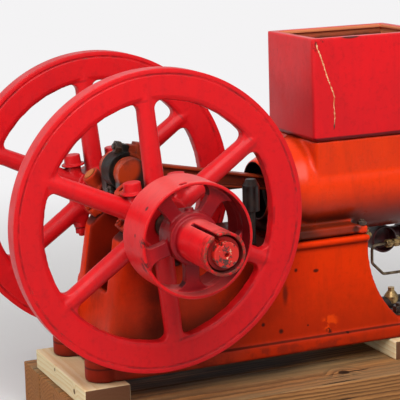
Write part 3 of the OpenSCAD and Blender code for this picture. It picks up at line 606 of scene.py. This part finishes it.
def wheelRim(look, centre):
    outer, half, inner = look["radius"], look["width"] / 2, look["radius"] - look["depth"]
    floor = half - look["grooveDepth"]
    side = [(inner - 0.1, half - 7), (inner + 8, floor + look["stand"]),
            (outer - 12, half - 0.8 + look["stand"])]
    side += [(outer - inwards, floor) for inwards in look["groove"]]
    side += [(outer - look["lip"], half), (outer, half)]
    loop = [(inner - 0.1, 0)] + side + [(x, -y) for x, y in reversed(side)] + [(inner - 0.1, 0)]
    return turned(loop, centre, (0, 1, 0), look["round"], 3, look["segments"])


castings = {   # how it was made, voxel size in mm, smoothing passes, share of the faces that is kept
    "base": ("casting", 3.4, 5, 0.4),
    "cylinder": ("casting", 3.0, 5, 0.45),
    "hopper": ("casting", 2.4, 5, 0.25),
    "pulley": ("casting", 1.8, 4, 0.5),
    "bearing_cap_near": ("casting", 1.6, 4, 0.5),
    "bearing_cap_far": ("casting", 1.6, 4, 0.5),
    "timing_case": ("casting", 1.8, 4, 0.5),
    "cylinder_head": ("casting", 2.2, 4, 0.4),
    "hub_bolts_near": ("turned", 1.1, 4, 0.5),
    "hub_bolts_far": ("turned", 1.1, 4, 0.5),
    "connecting_rod": ("forging", 1.4, 4, 0.4),
    "rod_cap": ("forging", 1.2, 4, 0.5),
    "crankshaft_near": ("forging", 1.5, 3, 0.4),
    "crankshaft_far": ("forging", 1.5, 3, 0.4),
    "mixer": ("casting", 1.2, 4, 0.4),
    "exhaust_elbow": ("casting", 1.4, 4, 0.4),
    "tank_outlet": ("casting", 1.4, 3, 0.4),
    "mouth_oiler": ("casting", 1.2, 4, 0.5),
    "rocker_bracket": ("casting", 1.0, 3, 0.5),
    "rocker_arm": ("forging", 1.0, 4, 0.5),
    "flywheel_near": ("casting", 2.5, 5, 0.45),
    "flywheel_far": ("casting", 2.5, 5, 0.45)}

# the hole in the pulley's rim that lets a screwdriver reach the set screw
accessHole = {"at": (-20.8, -334.5, 100.9), "way": (-0.2, 0, 0.98),
              "outline": [(0, -20), (7, -20), (7, 20), (0, 20)]}

print("softening the castings")
for node, making in castings.items():
    rim = drill = None
    if node.startswith("flywheel"):
        hub = middleOf(node.replace("flywheel", "hub_bolts"))
        rim = wheelRim(rimLook, Vector((0, hub.y, shaftUp)))
    if node == "pulley":
        drill = turned(accessHole["outline"], fromShaft(*accessHole["at"]), accessHole["way"])
    castSkin(node, *making, rim, drill)


# millimetres, apart from the passes that cut the faces finer and the waves in a metre
timberCut = {"arris": 2.5, "cuts": 6, "cell": 14, "rough": 0.4, "skin": 4, "waves": 25}
blockCut = {**timberCut, "arris": 2.0, "cuts": 5, "rough": 0.15}


def sawnTimber(node, look):
    # a rough-sawn balk: edges worn round, faces not quite flat, ends ragged by the saw
    low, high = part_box(node)
    shape = bmesh.new()
    bmesh.ops.create_cube(shape, size=1.0)
    for v in shape.verts:
        v.co = Vector((low[i] + (v.co[i] + 0.5) * (high[i] - low[i]) for i in range(3)))
    bmesh.ops.bevel(shape, geom=list(shape.edges), offset=look["arris"] * mm, segments=3, affect="EDGES",
                    profile=0.5)
    for _ in range(look["cuts"]):
        long = [e for e in shape.edges if e.calc_length() > look["cell"] * mm]
        bmesh.ops.subdivide_edges(shape, edges=long, cuts=1, use_grid_fill=True)
    middle = middleOf(node)
    for v in shape.verts:
        inward = Vector((1 if v.co[i] < middle[i] else -1 for i in range(3)))
        uneven = Vector((lumps.noise(v.co * look["waves"] + Vector((7 * i, 3, 5))) + 1 for i in range(3)))
        uneven = uneven * look["rough"] * mm
        reach = Vector((min(abs(v.co[i] - low[i]), abs(high[i] - v.co[i])) for i in range(3)))
        v.co += Vector((inward[i] * uneven[i] if reach[i] < look["skin"] * mm else 0 for i in range(3)))
    settle(newPiece(node + "_sawn", shape, finishOf[node]), bodyOf[node], slotOf[node], node)


print("sawing the timbers")
for node in ("timber_near", "timber_middle", "timber_far"):
    sawnTimber(node, timberCut)
for node in ("block_crank_end", "block_head_end"):
    sawnTimber(node, blockCut)


def startTree(name, sockets):
    # a Geometry Nodes tree with named inputs; returns it, a function that adds a node, and its inputs
    tree = bpy.data.node_groups.new(name, "GeometryNodeTree")
    tree.interface.new_socket("Geometry", in_out="INPUT", socket_type="NodeSocketGeometry")
    for label, kind in sockets.items():
        tree.interface.new_socket(label, in_out="INPUT", socket_type="NodeSocket" + kind)
    tree.interface.new_socket("Geometry", in_out="OUTPUT", socket_type="NodeSocketGeometry")
    return tree, partial(addNode, tree), addNode(tree, "NodeGroupInput").outputs


def endTree(add, geometry, material):
    whole = add("GeometryNodeRealizeInstances", {"Geometry": geometry})
    painted = add("GeometryNodeSetMaterial", {"Geometry": whole, "Material": material})
    add("NodeGroupOutput", {"Geometry": painted})


def grow(piece, tree, values, smoothTo=40):
    # runs a tree on a piece and keeps the result as a plain mesh
    modifier = piece.modifiers.new(tree.name, "NODES")
    modifier.node_group = tree
    for item in tree.interface.items_tree:
        if item.in_out == "INPUT" and item.name in values:
            modifier[item.identifier] = values[item.name]
    apply(piece)
    shadeSmooth(piece.data, smoothTo)


def fastenerTree():
    # one copy of a fastener at each point, standing along the point's own direction
    tree, add, given = startTree("fasteners", {"Fastener": "Object", "Material": "Material"})
    part = add("GeometryNodeObjectInfo", {"Object": given["Fastener"]}).outputs["Geometry"]
    direction = add("GeometryNodeInputNamedAttribute", {"Name": "direction"}, data_type="FLOAT_VECTOR")
    size = add("GeometryNodeInputNamedAttribute", {"Name": "size"}, data_type="FLOAT")
    stand = add("FunctionNodeAlignRotationToVector", {"Vector": direction}, axis="Z")
    copies = add("GeometryNodeInstanceOnPoints", {
        "Points": given["Geometry"], "Instance": part, "Rotation": stand, "Scale": size})
    endTree(add, copies, given["Material"])
    return tree


def springTree():
    # adds a coil spring along +X to the piece it is run on
    tree, add, given = startTree("valveSpring", {
        "Coils": "Float", "Radius": "Float", "Wire": "Float", "Length": "Float", "Start": "Vector",
        "Material": "Material"})
    coil = add("GeometryNodeCurveSpiral", {
        "Resolution": 20, "Rotations": given["Coils"], "Start Radius": given["Radius"],
        "End Radius": given["Radius"], "Height": given["Length"]})
    section = add("GeometryNodeCurvePrimitiveCircle", {"Resolution": 10, "Radius": given["Wire"]})
    wire = add("GeometryNodeCurveToMesh", {"Curve": coil, "Profile Curve": section, "Fill Caps": True})
    placed = add("GeometryNodeTransform", {
        "Geometry": wire, "Translation": given["Start"], "Rotation": (0.0, math.pi / 2, 0.0)})
    both = add("GeometryNodeJoinGeometry", {"Geometry": placed})
    tree.links.new(given["Geometry"], both.inputs["Geometry"])
    endTree(add, both, given["Material"])
    return tree


def pipeTree():
    # a round pipe along the piece's edges, with bends of one radius
    tree, add, given = startTree("bentPipe", {"Radius": "Float", "Bend": "Float", "Material": "Material"})
    line = add("GeometryNodeMeshToCurve", {"Mesh": given["Geometry"]})
    bent = add("GeometryNodeFilletCurve", {
        "Curve": line, "Count": 8, "Radius": given["Bend"], "Limit Radius": True}, mode="POLY")
    section = add("GeometryNodeCurvePrimitiveCircle", {"Resolution": 16, "Radius": given["Radius"]})
    pipe = add("GeometryNodeCurveToMesh", {"Curve": bent, "Profile Curve": section, "Fill Caps": True})
    endTree(add, pipe, given["Material"])
    return tree


fasteners, springs, bentPipe = fastenerTree(), springTree(), pipeTree()
upright = (0, 0, 1)
nutLook = {   # millimetres; across is over the flats, and a nut on a washer stands washerUp higher
    "hold_down_nuts": {"across": 24, "height": 14, "stud": 8, "studUp": 6, "washer": 18, "washerUp": 2.0},
    "saddle_nuts": {"across": 16, "height": 8, "stud": 5, "studUp": 4},
    "bearing_nuts": {"across": 13, "height": 8, "stud": 4, "studUp": 3},
    "rod_bolt_nuts": {"across": 21, "height": 12, "stud": 6, "studUp": 4},
    "head_nuts": {"across": 19, "height": 11, "stud": 6, "studUp": 6},
    "timing_case_screws": {"across": 12, "height": 6, "stud": 3, "studUp": 1.1},
    "fuel_pipe_nuts": {"across": 15, "height": 13, "stud": 4.2, "studUp": 3}}


def nutShape(across, height, stud, studUp, washer=0.0, washerUp=0.0, sides=6):
    # a nut with its corners turned off, on a washer, with the end of its stud
    shape = bmesh.new()
    apothem, cut = across / 2, across * 0.06
    count, top = sides * 6, washerUp + height

    def ring(z, radius=None):
        points = []
        for i in range(count):
            a = math.tau * i / count
            corner = (a + math.pi / sides) % (math.tau / sides) - math.pi / sides
            r = (apothem / math.cos(corner) if radius is None else radius) * mm
            points.append(shape.verts.new((r * math.cos(a), r * math.sin(a), z * mm)))
        return points

    levels = []
    if washer:
        levels += [ring(-0.5, washer - 0.3), ring(0.3, washer), ring(washerUp - 0.4, washer),
                   ring(washerUp, washer - 0.5)]
    levels += [ring(washerUp, apothem * 0.98), ring(washerUp + cut), ring(top - cut), ring(top, apothem * 0.99),
               ring(top, stud), ring(top + studUp - 1, stud), ring(top + studUp, stud - 1)]
    for low, high in zip(levels, levels[1:]):
        for i in range(count):
            j = (i + 1) % count
            shape.faces.new((low[i], low[j], high[j], high[i]))
    shape.faces.new(levels[-1])
    shape.faces.new(list(reversed(levels[0])))
    bmesh.ops.recalc_face_normals(shape, faces=shape.faces)
    return shape


def fasten(name, points, body="engine_frame", slot="oily_iron", material=rustyIron):
    # points are ((x, y, z), (dx, dy, dz), size) in millimetres from the shaft
    sample = newPiece(name + "_one", nutShape(**nutLook[name]), material)
    seeds = bpy.data.meshes.new(name)
    seeds.from_pydata([fromShaft(*place) for place, _, _ in points], [], [])
    seeds.attributes.new("direction", "FLOAT_VECTOR", "POINT")
    seeds.attributes.new("size", "FLOAT", "POINT")
    for i, (_, way, scale) in enumerate(points):
        seeds.attributes["direction"].data[i].vector = Vector(way).normalized()
        seeds.attributes["size"].data[i].value = scale
    piece = intoScene(name, seeds)
    grow(piece, fasteners, {"Fastener": sample, "Material": material}, 35)
    bpy.data.objects.remove(sample)
    settle(piece, body, slot)


capLean = math.radians(40)      # the bearing caps lean back from upright
leanUp = (-math.sin(capLean), 0, math.cos(capLean))


def leaned(along, y, up):
    # a point on a bearing cap, along its flange and up from its joint
    return (along * math.cos(capLean) - up * math.sin(capLean), y,
            along * math.sin(capLean) + up * math.cos(capLean))


rodPin = middleOf("crankpin")
rodAlong = (middleOf("wrist_pin") - rodPin).normalized()
rodUp = Vector((-rodAlong.z, 0, rodAlong.x))


def onRod(along, y, up):
    # a point on the connecting rod, from the crank pin towards the wrist pin
    place = rodPin + rodAlong * along * mm + rodUp * up * mm
    return (place.x / mm, y, (place.z - shaftUp) / mm)


def onCircle(radius, count, first, step):
    # points on a circle, at angles in degrees
    angles = [math.radians(first + step * i) for i in range(count)]
    return [(radius * math.cos(a), radius * math.sin(a)) for a in angles]


print("fitting the fasteners")
fasten("hold_down_nuts", [((x, y, -264), upright, 1.0) for x in (-96, 541) for y in (-94, 94)])
fasten("saddle_nuts", [((x, y, -68.7), upright, 1.0) for x in (300, 448) for y in (-109, 109)])
fasten("bearing_nuts", [(leaned(x, y, 18), leanUp, 1.0) for x in (-45.2, 45.2) for y in (-91, 82)],
       slot="orange_paint", material=orangeCap)
fasten("rod_bolt_nuts", [(onRod(-12, 0, up), tuple(-rodAlong), 1.0) for up in (-43, 43)], "connecting_rod")
fasten("head_nuts", [((665.9, y, z), (1, 0, 0), 1.0) for y, z in onCircle(86, 8, 22.5, 45)])
fasten("timing_case_screws", [((78 + x, 127.9, -18 + z), (0, 1, 0), 1.0) for x, z in onCircle(44, 4, -80, 65)])

# a plug closes the oil hole of the far bearing; the near one has lost its plug
plugOutline = [(0, -6), (12, -6), (12, 2.0), (9, 3.2), (0, 3.2)]
plug = turned(plugOutline, fromShaft(*leaned(0, 82, 68)), leanUp, 0.8)
settle(newPiece("oil_hole_plug", plug, tanCap), "engine_frame", "orange_paint")


valveLook = {"head": 622, "disc": 20, "stem": 5, "end": 104.5, "cap": 13, "capFrom": 93, "capTo": 97.5,
             "coils": 7, "coil": 9.5, "wire": 1.7, "from": 59, "to": 92}


def valvePiece(node, y, look):
    # stem, spring and retainer; the disc behind them closes the port inside the head
    stem, end, cap = look["stem"], look["end"], look["cap"]
    outline = [(0, 2), (look["disc"], 2), (look["disc"], 6), (stem, 10), (stem, look["capFrom"]),
               (cap, look["capFrom"]), (cap, look["capTo"]), (stem, look["capTo"]), (stem, end - 1),
               (stem - 1, end), (0, end)]
    piece = newPiece(node + "_spring", turned(outline, fromShaft(look["head"], y, 0), (1, 0, 0), 0.6), steel)
    start = fromShaft(look["head"] + look["from"], y, 0)
    grow(piece, springs, {
        "Coils": float(look["coils"]), "Radius": look["coil"] * mm, "Wire": look["wire"] * mm,
        "Length": (look["to"] - look["from"]) * mm, "Start": tuple(start), "Material": steel})
    settle(piece, "engine_frame", slotOf[node], node)


print("fitting the valves and the fuel pipe")
valvePiece("intake_valve", -26, valveLook)
valvePiece("exhaust_valve", 26, valveLook)


pipeLook = {   # millimetres from the shaft
    "radius": 3, "bend": 11, "y": -20,
    "route": [(592, -137), (520, -137), (520, -174), (546, -200), (612, -200), (612, -261)],
    "nuts": [((552, -20, -137), (1, 0, 0), 1.0), ((583, -20, -137), (-1, 0, 0), 1.0),
             ((612, -20, -249), upright, 0.9)],
    "boss": [(0, -8), (8, -8), (8, 40), (0, 40)], "bossAt": (593.3, 0, -137)}


def fuelPipe(look):
    # the pipe swings down from the mixer's inlet and drops into the tank's neck
    route = [fromShaft(x, look["y"], z) for x, z in look["route"]]
    line = bpy.data.meshes.new("fuel_pipe_bent")
    line.from_pydata(route, [(i, i + 1) for i in range(len(route) - 1)], [])
    piece = intoScene("fuel_pipe_bent", line)
    grow(piece, bentPipe, {"Radius": look["radius"] * mm, "Bend": look["bend"] * mm, "Material": oldPipe})
    settle(piece, "engine_frame", slotOf["fuel_pipe"], "fuel_pipe")
    fasten("fuel_pipe_nuts", look["nuts"], slot=slotOf["fuel_pipe"], material=brass)
    boss = turned(look["boss"], fromShaft(*look["bossAt"]), (0, 1, 0), 0.8)
    settle(newPiece("fuel_pipe_boss", boss, brass), "engine_frame", slotOf["fuel_pipe"])


fuelPipe(pipeLook)


crackLook = {   # millimetres; the two ends of the crack are dark, each from the first height to the second
    "filler": "#F0BE8C", "worn": "#C4673A", "dark": "#4A1A12", "topEnd": (285, 297), "lowEnd": (150, 128),
    "width": 3.4, "proud": 0.45, "step": 2.5, "path": [
        (357.3, 295.9), (360.8, 280.9), (367.0, 267.4), (381.2, 225.0), (395.5, 187.3), (394.2, 172.3),
        (395.7, 145.4), (393.5, 123.8)]}


def crackFill(look):
    # pale filler that stands a little proud in an old crack of the hopper
    material, add, where = startMaterial("oldFiller")
    grain = blotches(add, where, 0.008, 4, 0.7)
    height = add("SeparateXYZ", [where]).outputs["Z"]
    ends = add("Math", [add("MapRange", [height, *[shaftUp + z * mm for z in look[end]]], **smoothly)
                        for end in ("topEnd", "lowEnd")], **larger)
    return endMaterial(material, add, {
        "Base Color": layered(add, look["filler"], (grain, look["worn"], 0.42, 0.62), (ends, look["dark"])),
        "Roughness": 0.75, "Normal": raised(add, grain, 0.5)})


def hopperCrack(look):
    wobble = random.Random(4)
    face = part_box("hopper")[0].y - 0.05 * mm
    points = []
    for (x0, z0), (x1, z1) in zip(look["path"], look["path"][1:]):
        steps = max(1, round(math.hypot(x1 - x0, z1 - z0) / look["step"]))
        points += [(x0 + (x1 - x0) * i / steps, z0 + (z1 - z0) * i / steps) for i in range(steps)]
    points.append(look["path"][-1])
    shape = bmesh.new()
    rows = []
    for i, (x, z) in enumerate(points):
        taper = min(1, (i + 1) / 4, (len(points) - i) / 4)
        half = look["width"] / 2 * taper * wobble.uniform(0.45, 1.25)
        x += wobble.uniform(-0.5, 0.5)
        rows.append([shape.verts.new((fromShaft(x + side * half, 0, z).x, face - up * mm, fromShaft(x, 0, z).z))
                     for side, up in ((-1, -0.3), (-0.5, look["proud"]), (0.5, look["proud"]), (1, -0.3))])
    for a, b in zip(rows, rows[1:]):
        for i in range(3):
            shape.faces.new((a[i], a[i + 1], b[i + 1], b[i]))
        shape.faces.new((a[3], a[0], b[0], b[3]))
    shape.faces.new(list(reversed(rows[0])))
    shape.faces.new(rows[-1])
    bmesh.ops.recalc_face_normals(shape, faces=shape.faces)
    settle(newPiece("hopper_crack", shape, crackFill(look), 60), "engine_frame", slotOf["hopper"])


print("filling the crack")
hopperCrack(crackLook)

print("finishing the other parts")
for node, part in frame["nodes"].items():
    part.data.materials.clear()
    part.data.materials.append(finishOf.get(node, steel))


print("setting the stage")
cameraPlace = {"at": (-1.0351, -2.7978, 1.0517), "azimuth": -22.34, "elevation": 11.06, "roll": -1.82,
               "lens": 143.7, "shift": (0.0456, -0.0404)}


def pointFrom(azimuth, elevation, roll):
    # camera axes for a view from this azimuth and elevation; azimuth 0 looks along +Y
    a, e, r = (math.radians(v) for v in (azimuth, elevation, roll))
    back = Vector((math.sin(a) * math.cos(e), -math.cos(a) * math.cos(e), math.sin(e)))
    right = (-back).cross(Vector((0, 0, 1))).normalized()
    up = right.cross(-back)
    return Matrix((right * math.cos(r) + up * math.sin(r), up * math.cos(r) - right * math.sin(r), back))


lens = bpy.data.cameras.new("camera")
lens.lens = cameraPlace["lens"]
lens.shift_x, lens.shift_y = cameraPlace["shift"]
camera = intoScene("camera", lens)
turn = pointFrom(cameraPlace["azimuth"], cameraPlace["elevation"], cameraPlace["roll"])
camera.matrix_world = Matrix.Translation(cameraPlace["at"]) @ turn.transposed().to_4x4()
bpy.context.scene.camera = camera

stageLook = {"paper": "#F4F3F4", "near": "#EFEDEC", "bounce": "#8C8A88", "middle": (0.15, 0.0, 0.0),
             "fadeFrom": 0.75, "fadeTo": 2.6, "radius": 14, "below": 0.0005}
lightLook = {"soft": 0.46, "front": 0.06, "aim": (0.15, 0, 0.35), "boxes": {   # place, size and watts
    "key": ((-0.3, -1.45, 1.85), (1.5, 1.5), 41),
    "fill": ((1.8, -1.6, 1.6), (1.2, 1.2), 7),
    "low": ((-1.9, -0.55, 0.9), (1.2, 0.9), 14)}}


def paperFloor(look):
    # pale paper that takes the shadow near the engine and runs out to the white of the backdrop
    material, add, where = startMaterial("palePaper")
    path = add("LightPath").outputs
    seen = add("Math", [path["Is Camera Ray"], path["Is Glossy Ray"]], **larger)
    seen = add("Math", [seen, path["Is Transmission Ray"]], **larger)
    far = nearTo(add, where, look["middle"], look["fadeTo"], look["fadeFrom"])
    paper = add("BsdfPrincipled", {
        "Base Color": layered(add, look["bounce"], (seen, look["near"])), "Roughness": 0.9,
        "Specular IOR Level": 0.1})
    glow = add("Emission", {"Color": look["paper"], "Strength": 1.0})
    add("OutputMaterial", [add("MixShader", [add("Math", [far, seen], **times), paper, glow])])
    return material


floorShape = bmesh.new()
bmesh.ops.create_circle(floorShape, cap_ends=True, radius=stageLook["radius"], segments=64)
floorMesh = bpy.data.meshes.new("floor")
floorShape.to_mesh(floorMesh)
floorShape.free()
floorMesh.materials.append(paperFloor(stageLook))
floor = intoScene("floor", floorMesh)
floor.location.z = -stageLook["below"]

world = bpy.data.worlds.new("studio")
bpy.context.scene.world = world
world.use_nodes = True
world.node_tree.nodes.clear()
add = partial(addNode, world.node_tree)
path = add("LightPath").outputs
# gloss sees the white backdrop behind and above the engine, and a dimmer room in front of it
towards = add("SeparateXYZ", [add("TexCoord").outputs["Generated"]]).outputs["Y"]
room = add("MapRange", [towards, -0.5, 0.3, lightLook["front"], 1.0], **smoothly)
soft = add("Background", {"Color": (1, 1, 1, 1), "Strength": lightLook["soft"]})
white, gloss = (add("Background", {"Color": stageLook["paper"], "Strength": power}) for power in (1.0, room))
shiny = add("Math", [path["Is Glossy Ray"], path["Is Transmission Ray"]], **larger)
both = add("MixShader", [path["Is Camera Ray"], soft, white])
add("OutputWorld", [add("MixShader", [shiny, both, gloss])])

for name, (at, size, watts) in lightLook["boxes"].items():
    lamp = bpy.data.lights.new(name, "AREA")
    lamp.shape = "RECTANGLE"
    lamp.size, lamp.size_y = size
    lamp.energy = watts
    box = intoScene(name, lamp)
    box.location = at
    box.rotation_euler = (Vector(lightLook["aim"]) - Vector(at)).to_track_quat("-Z", "Y").to_euler()

bpy.context.scene.view_settings.view_transform = "Standard"
